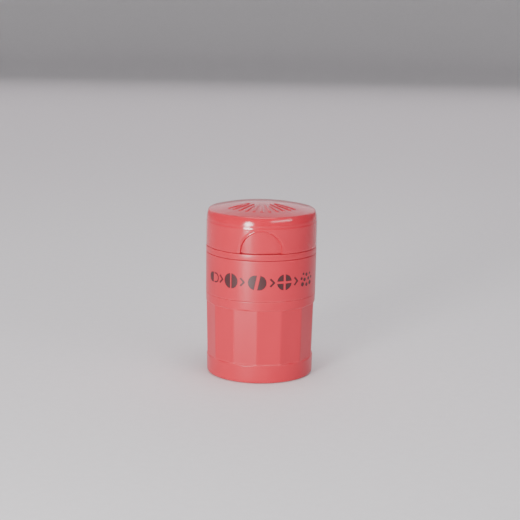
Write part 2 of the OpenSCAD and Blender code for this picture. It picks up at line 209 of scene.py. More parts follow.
def prism_x(name, outline, x0, x1, bevel=0.0):
    """An outline in (Y, Z) drawn along X, with its edges rounded."""
    n = len(outline)
    verts = [(x * MM, y * MM, z * MM) for x in (x0, x1) for y, z in outline]
    faces = [list(range(n - 1, -1, -1)), list(range(n, 2 * n))]
    faces += [[i, (i + 1) % n, n + (i + 1) % n, n + i] for i in range(n)]
    obj = new_object(name, verts, faces)
    if bevel:
        round_edges(obj, bevel, 40)
    return finish_mesh(obj)


def tube(name, axis, centre, r_out, length, bevel, r_in=0.0):
    """A cylinder or tube with rounded rims along axis 'X' or 'Z', centred on centre."""
    h = length / 2
    profile = arc(r_out - bevel, -h + bevel, bevel, -90, 0, 3)
    profile += arc(r_out - bevel, h - bevel, bevel, 0, 90, 3)
    if r_in:
        profile += [(r_in, h), (r_in, -h)]
    else:
        profile = [(0, -h)] + profile + [(0, h)]
    obj = lathe(name, tidy(profile), even(64), ring=bool(r_in))
    turn = Matrix.Rotation(math.pi / 2, 4, "Y") if axis == "X" else Matrix()
    obj.data.transform(Matrix.Translation(Vector(centre) * MM) @ turn)
    return obj


def round_edges(obj, width, angle):
    """Bevels the edges that are sharper than angle."""
    bm = bmesh.new()
    bm.from_mesh(obj.data)
    bmesh.ops.remove_doubles(bm, verts=bm.verts, dist=2e-6)
    bmesh.ops.dissolve_limit(bm, angle_limit=math.radians(0.6), verts=bm.verts, edges=bm.edges)
    limit = math.radians(angle)
    edges = [e for e in bm.edges if len(e.link_faces) == 2 and e.calc_face_angle(0) > limit]
    bmesh.ops.bevel(
        bm, geom=edges, offset=width * MM, offset_type="OFFSET", segments=2,
        profile=0.5, affect="EDGES", clamp_overlap=True,
    )
    bmesh.ops.remove_doubles(bm, verts=bm.verts, dist=1e-6)
    bmesh.ops.triangulate(bm, faces=[f for f in bm.faces if len(f.verts) > 4])
    bm.to_mesh(obj.data)
    bm.free()


def cut(obj, cutters):
    """Cuts each cutter out of obj, and removes it."""
    for cutter in cutters:
        mod = obj.modifiers.new("cut", "BOOLEAN")
        mod.operation = "DIFFERENCE"
        mod.solver = "EXACT"
        mod.object = cutter
        bpy.context.view_layer.update()
        evaluated = obj.evaluated_get(bpy.context.evaluated_depsgraph_get())
        done = bpy.data.meshes.new_from_object(evaluated)
        obj.modifiers.remove(mod)
        obj.data = done
        bpy.data.objects.remove(cutter)
    return finish_mesh(obj)


def join(name, objects):
    """One object from several closed meshes."""
    bm = bmesh.new()
    for o in objects:
        bm.from_mesh(o.data)
        bpy.data.objects.remove(o)
    mesh = bpy.data.meshes.new(name)
    bm.to_mesh(mesh)
    bm.free()
    obj = bpy.data.objects.new(name, mesh)
    bpy.context.scene.collection.objects.link(obj)
    return obj


def refined(node, bevel=0.0, angle=SHARP):
    """A copy of a CAD node's mesh with welded, rounded edges, which stands for the node."""
    source = frame["nodes"][node]
    mesh = source.data.copy()
    obj = bpy.data.objects.new(node + "_detail", mesh)
    bpy.context.scene.collection.objects.link(obj)
    mesh.materials.clear()
    for name in [a.name for a in mesh.attributes if a.name == "custom_normal"]:
        mesh.attributes.remove(mesh.attributes[name])
    bm = bmesh.new()
    bm.from_mesh(mesh)
    bmesh.ops.remove_doubles(bm, verts=bm.verts, dist=2e-6)
    bm.to_mesh(mesh)
    bm.free()
    if bevel:
        round_edges(obj, bevel, angle)
    return finish_mesh(obj, angle)


# ---- Materials ----
class Nodes:
    """A short way to write a node material."""

    def __init__(self, name):
        self.mat = bpy.data.materials.new(name)
        self.mat.use_nodes = True
        self.tree = self.mat.node_tree
        self.tree.nodes.clear()
        out = self.tree.nodes.new("ShaderNodeOutputMaterial")
        self.bsdf = self.tree.nodes.new("ShaderNodeBsdfPrincipled")
        self.link(self.bsdf.outputs[0], out.inputs[0])
        self.coords = self.tree.nodes.new("ShaderNodeTexCoord").outputs["Object"]

    def link(self, a, b):
        self.tree.links.new(a, b)

    def scaled(self, x, y, z):
        n = self.tree.nodes.new("ShaderNodeMapping")
        n.inputs["Scale"].default_value = (x, y, z)
        self.link(self.coords, n.inputs["Vector"])
        return n.outputs[0]

    def noise(self, vector, detail, roughness):
        n = self.tree.nodes.new("ShaderNodeTexNoise")
        n.inputs["Scale"].default_value = 1.0
        n.inputs["Detail"].default_value = detail
        n.inputs["Roughness"].default_value = roughness
        self.link(vector, n.inputs["Vector"])
        return n.outputs["Fac"]

    def spread(self, value, a, b, c, d):
        """Maps value from a..b to c..d, held at both ends."""
        n = self.tree.nodes.new("ShaderNodeMapRange")
        self.link(value, n.inputs["Value"])
        for key, v in (("From Min", a), ("From Max", b), ("To Min", c), ("To Max", d)):
            n.inputs[key].default_value = v
        return n.outputs[0]

    def math(self, kind, a, b):
        n = self.tree.nodes.new("ShaderNodeMath")
        n.operation = kind
        for value, socket in ((a, n.inputs[0]), (b, n.inputs[1])):
            if isinstance(value, (int, float)):
                socket.default_value = value
            else:
                self.link(value, socket)
        return n.outputs[0]

    def mix(self, factor, a, b):
        n = self.tree.nodes.new("ShaderNodeMix")
        n.data_type = "RGBA"
        self.link(factor, n.inputs["Factor"])
        for value, socket in ((a, n.inputs[6]), (b, n.inputs[7])):
            if isinstance(value, tuple):
                socket.default_value = (*value, 1)
            else:
                self.link(value, socket)
        return n.outputs[2]

    def height(self):
        n = self.tree.nodes.new("ShaderNodeSeparateXYZ")
        self.link(self.coords, n.inputs[0])
        return n.outputs["Z"]

    def bands(self, levels, reach):
        """1 near any of the heights, 0 elsewhere."""
        z = self.height()
        total = None
        for level in levels:
            d = self.math("ABSOLUTE", self.math("SUBTRACT", z, level * MM), 0)
            near = self.spread(d, 0.0, reach * MM, 1.0, 0.0)
            total = near if total is None else self.math("MAXIMUM", total, near)
        return total

    def bump(self, height, strength, distance, under=None):
        n = self.tree.nodes.new("ShaderNodeBump")
        n.inputs["Strength"].default_value = strength
        n.inputs["Distance"].default_value = distance
        self.link(height, n.inputs["Height"])
        if under is not None:
            self.link(under, n.inputs["Normal"])
        return n.outputs[0]

    def set(self, **values):
        for key, v in values.items():
            socket = self.bsdf.inputs[key.replace("_", " ")]
            if isinstance(v, (int, float, tuple)):
                socket.default_value = v
            else:
                self.link(v, socket)
        return self.mat


def plastic(name, main, tint, rough, scatter, seams=(), worn=None):
    """Moulded plastic: faint flow marks in the colour, orange peel, hairline scuffs, rubbed seam edges."""
    m = Nodes(name)
    flow = m.noise(m.scaled(38, 38, 15), 4.0, 0.6)
    colour = m.mix(m.spread(flow, 0.3, 0.7, 0.0, 1.0), main, tint)
    specks = m.noise(m.scaled(900, 900, 900), 2.0, 0.5)
    colour = m.mix(m.spread(specks, 0.68, 0.80, 0.0, 0.10), colour, tuple(0.86 * c for c in main))
    strokes = m.noise(m.scaled(2600, 2600, 160), 2.0, 0.5)
    patches = m.noise(m.scaled(70, 70, 55), 3.0, 0.6)
    handled = m.spread(patches, 0.45, 0.68, 0.0, 1.0)
    scuffs = m.math("MULTIPLY", m.spread(strokes, 0.6, 0.74, 0.0, 1.0), handled)
    roughness = m.spread(patches, 0.25, 0.75, rough - 0.025, rough + 0.035)
    roughness = m.math("ADD", roughness, m.math("MULTIPLY", scuffs, 0.14))
    if seams:
        ragged = m.noise(m.scaled(320, 320, 320), 3.0, 0.6)
        rub = m.math("MULTIPLY", m.bands(seams, 0.55), m.spread(ragged, 0.35, 0.65, 0.15, 1.0))
        colour = m.mix(m.math("MULTIPLY", rub, 0.5), colour, worn)
        roughness = m.math("ADD", roughness, m.math("MULTIPLY", rub, 0.12))
    peel = m.noise(m.scaled(620, 620, 620), 2.0, 0.5)
    low = m.bump(peel, 0.10, 0.00003)
    return m.set(
        Base_Color=colour, Roughness=roughness, IOR=1.46,
        Normal=m.bump(m.math("SUBTRACT", 1.0, scuffs), 0.10, 0.00001, low),
        Subsurface_Weight=scatter, Subsurface_Scale=0.0012, Subsurface_Radius=(1.0, 0.35, 0.25),
    )


def metal(name, colour, rough, stretch, grain=0.12):
    """Steel under faint smears, with its grain along the axis that has the smallest entry in stretch."""
    m = Nodes(name)
    lines = m.noise(m.scaled(*stretch), 4.0, 0.6)
    smear = m.noise(m.scaled(220, 220, 220), 4.0, 0.6)
    base = m.mix(m.spread(lines, 0.3, 0.7, 0.0, 1.0), tuple(0.86 * c for c in colour), colour)
    base = m.mix(m.spread(smear, 0.55, 0.75, 0.0, 0.35), base, tuple(0.72 * c for c in colour))
    roughness = m.spread(lines, 0.3, 0.7, rough - 0.06, rough + 0.08)
    roughness = m.math("ADD", roughness, m.spread(smear, 0.5, 0.8, 0.0, 0.1))
    return m.set(Base_Color=base, Metallic=1.0, Roughness=roughness, Normal=m.bump(lines, grain, 0.00001))


def soft(name, colour, rough, grain):
    """Rubber or silicone: a matt skin with dust caught in its grain."""
    m = Nodes(name)
    skin = m.noise(m.scaled(grain, grain, grain), 4.0, 0.65)
    dust = m.noise(m.scaled(150, 150, 150), 4.0, 0.6)
    base = m.mix(m.spread(dust, 0.5, 0.75, 0.0, 0.5), colour, tuple(min(1, c * 1.25 + 0.02) for c in colour))
    return m.set(
        Base_Color=base, Roughness=m.spread(skin, 0.3, 0.7, rough - 0.06, rough + 0.08),
        Normal=m.bump(skin, 0.35, 0.00004), IOR=1.45,
    )


CORAL = (0.50, 0.014, 0.032)
CORAL_TINT = (0.54, 0.019, 0.039)
CORAL_WORN = (0.64, 0.07, 0.09)


def coral(name, rough, seams):
    return plastic(name, CORAL, CORAL_TINT, rough, 0.05, seams, CORAL_WORN)


coral_cup = coral("coral_cup", 0.33, (0.4, FLAT_LOW, FLAT_HIGH + 0.3, CUP_H))
coral_sleeve = coral("coral_sleeve", 0.32, (SLEEVE_LOW, SLEEVE_TOP))
coral_deck = coral("coral_deck", 0.30, (BAND_LOW, BAND_TOP))
coral_lid = coral("coral_lid", 0.14, (LID_LOW, RIM_Z + 0.1))
coral_inside = plastic("coral_inside", CORAL, CORAL_TINT, 0.36, 0.08)
white = plastic("natural_white", (0.78, 0.77, 0.72), (0.72, 0.71, 0.66), 0.42, 0.1)
steel_blade = metal("ground_steel", (0.74, 0.76, 0.79), 0.24, (9000, 300, 9000))
steel_pin = metal("drawn_steel", (0.70, 0.71, 0.73), 0.20, (200, 7000, 7000), 0.08)
steel_screw = metal("plated_steel", (0.72, 0.73, 0.75), 0.22, (2500, 2500, 2500), 0.1)
silicone = soft("silicone", (0.62, 0.65, 0.68), 0.38, 700)
grip_rubber = soft("grip_rubber", (0.10, 0.105, 0.115), 0.72, 2600)


def ink_material():
    m = Nodes("print_ink")
    film = m.noise(m.scaled(1400, 1400, 1400), 3.0, 0.6)
    thin = m.noise(m.scaled(160, 160, 160), 3.0, 0.6)
    patchy = m.math("MULTIPLY", m.spread(film, 0.55, 0.72, 0.0, 0.5), m.spread(thin, 0.4, 0.7, 0.1, 1.0))
    return m.set(
        Base_Color=m.mix(patchy, (0.045, 0.008, 0.010), (0.13, 0.020, 0.022)),
        Roughness=m.spread(film, 0.3, 0.7, 0.34, 0.5),
        Normal=m.bump(film, 0.2, 0.00001),
    )


ink = ink_material()


def keep(obj, body, material, nodes=()):
    """Gives a finished piece its material and body, and hides the CAD nodes it stands for."""
    obj.data.materials.clear()
    obj.data.materials.append(material)
    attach(obj, body)
    if nodes:
        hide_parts(*nodes)


# ---- Crushing cup: the outer shell with its grip flats ----
FOOT_ROUND = 1.2
GROOVE_IN = 14.0
GROOVE_OUT = 19.0
GROOVE_H = 0.6
GROOVE_ROUND = 0.25
CUP_TOP_R = BODY_R - 0.2
CUP_TOP_ROUND = 0.18
CUP_BORE_R = 22.3
CUP_FLOOR = 2.2
FLAT_SOFTNESS = 0.16


def cup_radius(z):
    return CUP_FOOT_R + CUP_TAPER * z / CUP_H


def cup_outline():
    """The cup's profile, and the rows of it that the grip flats shape."""
    points = [(0, 0), (6, 0)] + arc(GROOVE_IN - GROOVE_ROUND, GROOVE_ROUND, GROOVE_ROUND, -90, 0, 3)
    points += [(GROOVE_IN, GROOVE_H), (GROOVE_OUT, GROOVE_H)]
    points += arc(GROOVE_OUT + GROOVE_ROUND, GROOVE_ROUND, GROOVE_ROUND, 180, 270, 3)
    points = tidy(points + arc(CUP_FOOT_R - FOOT_ROUND, FOOT_ROUND, FOOT_ROUND, -90, 0, 10))
    first = len(points)
    levels = stepped(2.0, 0.8, 7) + stepped(7.0, 0.1, 24) + stepped(9.6, 0.9, 25)
    levels += stepped(32.0, 0.1, 24) + [34.6, 35.4, 36.2, 36.8]
    points += [(cup_radius(z), z) for z in levels]
    side = range(first, len(points))
    points += arc(CUP_TOP_R - CUP_TOP_ROUND, CUP_H - CUP_TOP_ROUND, CUP_TOP_ROUND, 0, 90, 4)
    points += [(CUP_BORE_R + 0.2, CUP_H), (CUP_BORE_R, CUP_H - 0.2), (CUP_BORE_R, 20), (CUP_BORE_R, 2.6)]
    points += arc(CUP_BORE_R - 0.4, CUP_FLOOR + 0.4, 0.4, 0, -90, 3) + [(0, CUP_FLOOR)]
    return points, side


cup_profile, cup_side = cup_outline()


def flat_warp(r, z, phi, i):
    """Brings the side in to the flats, which run out at 45 degrees above and below."""
    if i not in cup_side:
        return r, z
    step = 360 / FLAT_COUNT
    off = (phi - FLAT_TURN) % step - step / 2
    base = min(max(z, FLAT_LOW), FLAT_HIGH)
    plane = (cup_radius(base) + 0.03) * math.cos(math.radians(step / 2))
    plane += max(0.0, z - FLAT_HIGH, FLAT_LOW - z)
    return soft_min(r, plane / math.cos(math.radians(off)), FLAT_SOFTNESS), z


cup = lathe("cup_shell_detail", cup_profile, even(FLAT_COUNT * 26, FLAT_TURN), flat_warp, ring=False)
keep(cup, "cup", coral_cup, ["cup_shell"])

# ---- Storage sleeve ----
SLEEVE_IN = 23.05
SLEEVE_R_LOW = 24.83
SLEEVE_R_TOP = 24.94
SLEEVE_ROUND = 0.16
SLEEVE_TOP_ROUND = 0.3
SLEEVE_DROP = 0.1

sleeve_profile = [(SLEEVE_IN, SLEEVE_LOW + 0.1), (SLEEVE_IN + 0.2, SLEEVE_LOW - SLEEVE_DROP)]
sleeve_profile += arc(
    SLEEVE_R_LOW - SLEEVE_ROUND, SLEEVE_LOW - SLEEVE_DROP + SLEEVE_ROUND, SLEEVE_ROUND, -90, 0, 4
)
sleeve_profile += line((SLEEVE_R_LOW, SLEEVE_LOW + 0.5), (SLEEVE_R_TOP, SLEEVE_TOP - 0.5), 1.5)
sleeve_profile += arc(
    SLEEVE_R_TOP - SLEEVE_TOP_ROUND, SLEEVE_TOP - SLEEVE_TOP_ROUND, SLEEVE_TOP_ROUND, 0, 90, 5
)
sleeve_profile += [(SLEEVE_IN + 0.2, SLEEVE_TOP), (SLEEVE_IN, SLEEVE_TOP - 0.2), (SLEEVE_IN, 47)]
sleeve = lathe("storage_sleeve_detail", tidy(sleeve_profile), even(320))
keep(sleeve, "plunger", coral_sleeve, ["storage_sleeve"])


# ---- Print on the sleeve: plain pictograms, from whole tablet to crumbs ----
PRINT_Z = 46.2
INK_SINK = 0.03
INK_RISE = 0.022
prints = []


def sleeve_radius(z):
    return SLEEVE_R_LOW + (SLEEVE_R_TOP - SLEEVE_R_LOW) * (z - SLEEVE_LOW) / (SLEEVE_TOP - SLEEVE_LOW)


def patch(shape, nu, nv, turn, at, closed=False):
    """A thin printed patch. shape(u, v) gives (across, up) in mm, which is bent round the sleeve at `at`.

    closed says that the patch meets itself where u is 0 and 1.
    """
    verts = []
    c, s = math.cos(math.radians(turn)), math.sin(math.radians(turn))
    for lift in (-INK_SINK, INK_RISE):
        for i in range(nu + 1):
            for j in range(nv + 1):
                x, y = shape(i / nu, j / nv)
                x, y = c * x - s * y + at[0], s * x + c * y + at[1]
                a = x / BODY_R - math.pi / 2
                r = sleeve_radius(y) + lift
                verts.append((r * math.cos(a) * MM, r * math.sin(a) * MM, y * MM))
    top = (nu + 1) * (nv + 1)

    def vert(i, j, k):
        return k * top + i * (nv + 1) + j

    faces = []
    for i in range(nu):
        for j in range(nv):
            faces.append([vert(i, j, 1), vert(i + 1, j, 1), vert(i + 1, j + 1, 1), vert(i, j + 1, 1)])
            faces.append([vert(i, j, 0), vert(i, j + 1, 0), vert(i + 1, j + 1, 0), vert(i + 1, j, 0)])
    for i in range(nu):
        faces.append([vert(i, 0, 0), vert(i + 1, 0, 0), vert(i + 1, 0, 1), vert(i, 0, 1)])
        faces.append([vert(i, nv, 1), vert(i + 1, nv, 1), vert(i + 1, nv, 0), vert(i, nv, 0)])
    for j in range(0 if closed else nv):
        faces.append([vert(0, j, 1), vert(0, j + 1, 1), vert(0, j + 1, 0), vert(0, j, 0)])
        faces.append([vert(nu, j, 0), vert(nu, j + 1, 0), vert(nu, j + 1, 1), vert(nu, j, 1)])
    return finish_mesh(new_object("print", verts, faces))


def segment(r, gap):
    """Half of a disc to the right of a straight side at `gap` from its centre."""

    def shape(u, v):
        top = math.sqrt(max(0.0, r * r - gap * gap))
        y = top * (2 * v - 1)
        x_out = math.sqrt(max(0.0, r * r - y * y))
        return gap + (max(x_out, gap + 0.02) - gap) * u, y

    return shape


def quarter(r, gap):
    """A quarter disc in the upper right, `gap` from both middle lines."""

    def shape(u, v):
        y = gap + (math.sqrt(r * r - gap * gap) - gap) * v
        x_out = max(math.sqrt(max(0.0, r * r - y * y)), gap + 0.02)
        return gap + (x_out - gap) * u, y

    return shape


def ring_shape(r0, r1):
    """A ring; with a very small r0, a dot."""

    def shape(u, v):
        a = 2 * math.pi * u
        r = r0 + (r1 - r0) * v
        return r * math.cos(a), r * math.sin(a)

    return shape


def bar(half_w, half_h):
    def shape(u, v):
        return half_w * (2 * u - 1), half_h * (2 * v - 1)

    return shape


def whole_tablet(x):
    for turn in (0, 180):
        prints.append(patch(segment(3.45, 0.30), 10, 24, turn, (x, PRINT_Z)))


def halves(x):
    for way, turn in ((1, 0), (-1, 180)):
        prints.append(patch(segment(3.4, 0.0), 10, 24, turn - 12, (x + way * 0.75, PRINT_Z)))


def quarters(x):
    for turn in (0, 90, 180, 270):
        prints.append(patch(quarter(3.6, 0.5), 10, 10, turn, (x, PRINT_Z)))


def crumbs(x):
    spots = (
        (-2.6, -2.1, 1.00), (0.3, -2.5, 0.85), (3.0, -2.0, 1.00), (-1.2, -0.1, 0.85), (1.7, 0.1, 0.80),
        (-3.3, 0.6, 0.70), (0.1, 2.1, 0.80), (4.0, 0.4, 0.65), (-2.1, 2.6, 0.60), (2.7, 2.3, 0.60),
    )
    for dx, dz, r in spots:
        prints.append(patch(ring_shape(0.02, r), 20, 2, 0, (x + dx, PRINT_Z + dz), True))


def chevron(x):
    for up in (-1, 1):
        prints.append(patch(bar(1.35, 0.42), 4, 2, up * -45, (x, PRINT_Z + up * 0.80)))


CAPSULE_R = 2.3
CAPSULE_HALF = 1.2
CAPSULE_SPLIT = 0.3
CAPSULE_LINE = 0.65


def capsule(x):
    """A capsule lying down: its left half solid, its right half an outline."""

    def solid(u, v):
        y = CAPSULE_R * (2 * v - 1)
        end = CAPSULE_HALF + math.sqrt(max(0.0, CAPSULE_R**2 - y * y))
        return -CAPSULE_SPLIT - (end - CAPSULE_SPLIT) * u, y

    def outline(u, v):
        a = math.pi * (u - 0.5)
        r = CAPSULE_R - CAPSULE_LINE * (1 - v)
        return CAPSULE_HALF + r * math.cos(a), r * math.sin(a)

    prints.append(patch(solid, 10, 20, 0, (x, PRINT_Z)))
    prints.append(patch(outline, 26, 2, 0, (x, PRINT_Z)))
    half = CAPSULE_LINE / 2
    for up in (-1, 1):
        at = (x + 0.76, PRINT_Z + up * (CAPSULE_R - half))
        prints.append(patch(bar(0.46, half), 2, 2, 0, at))


for draw, place in (
    (capsule, -24.6), (whole_tablet, -14.0), (halves, -1.6), (quarters, 10.9), (crumbs, 23.6),
):
    draw(place)
for place in (-19.4, -8.3, 5.2, 16.9):
    chevron(place)
keep(join("sleeve_print", prints), "plunger", ink)


# ---- Cutter deck: band, spigot, neck, outer knuckles and catches ----
DECK_R = 24.98
DECK_ROUND = 0.3
DECK_TOP = BAND_TOP - 0.7
DECK_UNDER = DECK_TOP - 1.8
NECK_R = 20.75
NECK_IN = 18.45
NECK_LOW = BAND_LOW - 6
GROOVE_R = 19.65
GROOVE_Z = BAND_LOW - 3.7
GROOVE_HALF = 0.82
SPIGOT_R = 22.9
SPIGOT_IN = 21.5
SPIGOT_TOP = BAND_TOP + 2.1
SPIGOT_ROUND = 0.25
CATCH_TURN = 32.0
CATCH_Z = BAND_TOP + 1.2


def deck_outline():
    points = [(0, DECK_UNDER), (10, DECK_UNDER), (NECK_IN, DECK_UNDER)]
    points += [(NECK_IN, NECK_LOW + 0.2), (NECK_IN + 0.2, NECK_LOW)]
    points += [(NECK_R - 0.4, NECK_LOW), (NECK_R, NECK_LOW + 0.4)]
    points += [(NECK_R, GROOVE_Z - GROOVE_HALF), (GROOVE_R, GROOVE_Z - GROOVE_HALF)]
    points += [(GROOVE_R, GROOVE_Z + GROOVE_HALF), (NECK_R, GROOVE_Z + GROOVE_HALF), (NECK_R, BAND_LOW)]
    points += arc(DECK_R - DECK_ROUND, BAND_LOW + DECK_ROUND, DECK_ROUND, -90, 0, 5)
    points += [(DECK_R, BAND_LOW + 1.4)]
    points += arc(DECK_R - DECK_ROUND, BAND_TOP - DECK_ROUND, DECK_ROUND, 0, 90, 5)
    points += [(SPIGOT_R + 0.15, BAND_TOP), (SPIGOT_R, BAND_TOP + 0.15)]
    points += [(SPIGOT_R, SPIGOT_TOP - 0.4), (SPIGOT_R - 0.4, SPIGOT_TOP)]
    points += [(SPIGOT_IN + 0.15, SPIGOT_TOP), (SPIGOT_IN, SPIGOT_TOP - 0.15)]
    points += arc(SPIGOT_IN - SPIGOT_ROUND, DECK_TOP + SPIGOT_ROUND, SPIGOT_ROUND, 0, -90, 2)
    return tidy(points + [(10, DECK_TOP), (0, DECK_TOP)])


def circle_yz(cy, cz, r, a0, a1, n):
    angles = [math.radians(a0 + (a1 - a0) * i / n) for i in range(n + 1)]
    return [(cy + r * math.cos(a), cz + r * math.sin(a)) for a in angles]


def room_for_knuckle(x0, x1):
    """A cutter round the hinge's axis, between two places along it."""
    return tube("cutter", "X", ((x0 + x1) / 2, HINGE_Y, HINGE_Z), KNUCKLE_R + 0.3, abs(x1 - x0), 0.02)


def ear(side):
    """One of the deck's outer knuckles, bored for the pin."""
    width = (HINGE_W - LID_KNUCKLE_W) / 2 - 0.1
    inner, outer = side * (HINGE_W / 2 - width), side * HINGE_W / 2
    outline = [(BODY_R - 2.1, BAND_LOW + 0.02), (BODY_R - 0.4, BAND_LOW + 0.02)]
    outline += circle_yz(HINGE_Y, HINGE_Z, KNUCKLE_R - 0.02, 0, 180, 24)
    obj = prism_x("ear", outline, min(inner, outer), max(inner, outer), 0.22)
    bore = tube("cutter", "X", ((inner + outer) / 2, HINGE_Y, HINGE_Z), PIN_R + 0.03, width + 2, 0.02)
    return cut(obj, [bore])


def catch(side):
    """A small swelling on the spigot that holds the lid shut."""
    half, rows, sides, swell_r = 4, 16, 12, 0.35
    verts = []
    for i in range(rows + 1):
        a = math.radians(-90 + side * CATCH_TURN - half + 2 * half * i / rows)
        swell = swell_r * math.sqrt(max(0.02, 1 - abs(i - rows / 2) / (rows / 2 + 0.3)))
        for j in range(sides):
            b = 2 * math.pi * j / sides
            r = SPIGOT_R - 0.02 + swell * math.cos(b)
            verts.append((r * math.cos(a) * MM, r * math.sin(a) * MM, (CATCH_Z + swell * math.sin(b)) * MM))
    faces = []
    for i in range(rows):
        low, high = i * sides, (i + 1) * sides
        faces += [[low + j, high + j, high + (j + 1) % sides, low + (j + 1) % sides] for j in range(sides)]
    faces += [list(range(sides)), list(range(rows * sides + sides - 1, rows * sides - 1, -1))]
    return finish_mesh(new_object("catch", verts, faces))


deck = lathe("deck_body", deck_outline(), even(320), ring=False)
leaf_room = LID_KNUCKLE_W / 2 + 0.1
slot = [(HINGE_Y - 2.5, BAND_LOW - 1), (HINGE_Y + 2, BAND_LOW - 1)]
slot += [(HINGE_Y + 2, HINGE_Z), (HINGE_Y - 2.5, HINGE_Z)]
cut(deck, [room_for_knuckle(-leaf_room, leaf_room), prism_x("cutter", slot, -leaf_room, leaf_room)])
deck = join("cutter_deck_detail", [deck, ear(-1), catch(-1), ear(1), catch(1)])
keep(deck, "cutter", coral_deck, ["cutter_deck"])

# ---- Lid: dome, shoulder, thumb recess and raised fan ----
LID_R_LOW = 24.98
LID_R_THUMB = 24.95
LID_R_TOP = BODY_R - 0.15
LID_IN = BODY_R - WALL
LID_EDGE_ROUND = 0.35
THUMB_TOP = LID_LOW + 11.0
LIP_RISE = 0.16
NAIL_GAP = 0.45
DENT_DEPTH = 0.42
SHOULDER_R = 11.5
SHOULDER_DROP = 4.4
RIM_R = 1.0
DOME_WALL = 1.9
CORNER_IN = 2.0
RIBS = 11
RIB_SPREAD = 116.0
RIB_RISE = 0.38
RIB_OUTER = 17.5
RIB_INNER = (9.0, 6.5)
BOSS_X = 9.0
BOSS_R = 3.0
BOSS_BORE_R = 1.12
BOSS_LOW = 71.7

# The rim's arc touches the dome inside and the shoulder inside.
dome_edge_r = LID_R_TOP - 0.85
dome_r = (dome_edge_r**2 + DOME_H**2) / (2 * DOME_H)
dome_cz = TOP_Z - dome_r
shoulder_c = (LID_R_TOP - SHOULDER_R, RIM_Z - SHOULDER_DROP)
span = math.hypot(shoulder_c[0], shoulder_c[1] - dome_cz)
dome_arm = dome_r - RIM_R
shoulder_arm = SHOULDER_R - RIM_R
rim_turn = math.degrees(math.acos((dome_arm**2 + span**2 - shoulder_arm**2) / (2 * span * dome_arm)))
dome_turn = math.degrees(math.atan2(shoulder_c[1] - dome_cz, shoulder_c[0])) - rim_turn
rim_c = (dome_arm * math.cos(math.radians(dome_turn)), dome_cz + dome_arm * math.sin(math.radians(dome_turn)))
shoulder_turn = math.degrees(math.atan2(rim_c[1] - shoulder_c[1], rim_c[0] - shoulder_c[0]))


def lid_outline():
    """The lid's profile, with the rows where its side ends, its dome starts and its inside starts."""
    points = arc(LID_R_LOW - LID_EDGE_ROUND, LID_LOW + LID_EDGE_ROUND, LID_EDGE_ROUND, -90, 0, 5)
    points += line((LID_R_LOW, LID_LOW + 0.45), (LID_R_THUMB, THUMB_TOP - 0.1), 0.17)
    points += line((LID_R_THUMB, THUMB_TOP), (LID_R_TOP, RIM_Z - SHOULDER_DROP), 0.3)
    side_rows = len(tidy(points))
    points += arc(*shoulder_c, SHOULDER_R, 0, shoulder_turn, 14)
    points += arc(*rim_c, RIM_R, shoulder_turn, dome_turn, 10)
    dome_rows = len(tidy(points))
    points += arc(0, dome_cz, dome_r, dome_turn, 90, 80)[:-1] + [(0, TOP_Z)]
    points = tidy(points)
    inner_rows = len(points)
    inner_r = dome_r - DOME_WALL
    inner_end = math.degrees(math.acos((LID_IN - CORNER_IN) / inner_r))
    points += [(0, TOP_Z - DOME_WALL)] + arc(0, dome_cz, inner_r, 90, inner_end, 16)[1:]
    points += arc(LID_IN - CORNER_IN, RIM_Z - 3.6, CORNER_IN, 70, 0, 6)
    points += [(LID_IN, RIM_Z - 6), (LID_IN, LID_LOW + 4)]
    points += line((LID_IN, LID_LOW + 2.2), (LID_IN, LID_LOW + 0.2), 0.2) + [(LID_IN + 0.2, LID_LOW)]
    return points, side_rows, dome_rows, inner_rows


lid_profile, lid_side_rows, dome_from, inner_from = lid_outline()


def thumb_mask(across, up):
    """Signed distance in mm into the arch of the thumb recess, positive inside."""
    straight = THUMB_H - THUMB_W
    if up < straight:
        return THUMB_W - abs(across)
    return THUMB_W - math.hypot(across, up - straight)


def nail_gap(z, across):
    """Lifts the lid's lowest millimetre at the thumb recess, which leaves a gap for a nail."""
    gap = NAIL_GAP * smooth(0.0, 0.4, THUMB_W - abs(across))
    return z + gap * max(0.0, 1 - (z - LID_LOW))


def catch_dent(z, phi):
    """How far the lid's inside gives way to the catches."""
    along = max(0.0, 1 - (abs(abs(phi) - CATCH_TURN) / 6) ** 4)
    return DENT_DEPTH * along * max(0.0, 1 - ((z - CATCH_Z) / 0.9) ** 2)


def rib_rise(r, phi):
    """Height of the fan of ribs on the dome, every other one of which is longer."""
    step = RIB_SPREAD / (RIBS - 1)
    k = round(phi / step)
    if abs(k) > (RIBS - 1) // 2:
        return 0.0
    off = math.radians(phi - k * step)
    across, along = r * math.sin(off), r * math.cos(off)
    low, high = RIB_INNER[k % 2] + 0.55, RIB_OUTER - 0.55
    away = math.hypot(across, max(0.0, low - along, along - high))
    return RIB_RISE * smooth(0.95, 0.22, away)


def lid_warp(r, z, phi, i):
    across = BODY_R * math.sin(math.radians(phi)) if abs(phi) < 90 else BODY_R
    if i >= inner_from:
        if r > LID_IN - 0.5 and z < LID_LOW + 3:
            return r + catch_dent(z, phi), nail_gap(z, across)
        return r, z
    if i < lid_side_rows:
        inside = thumb_mask(across, z - LID_LOW)
        drop = smooth(-0.10, 0.24, inside)
        lip = LIP_RISE * math.exp(-(((inside + 0.42) / 0.34) ** 2))
        return r - (r - BODY_R + THUMB_DEPTH) * drop - lip, nail_gap(z, across)
    if i >= dome_from:
        return r, z + rib_rise(r, phi)
    return r, z


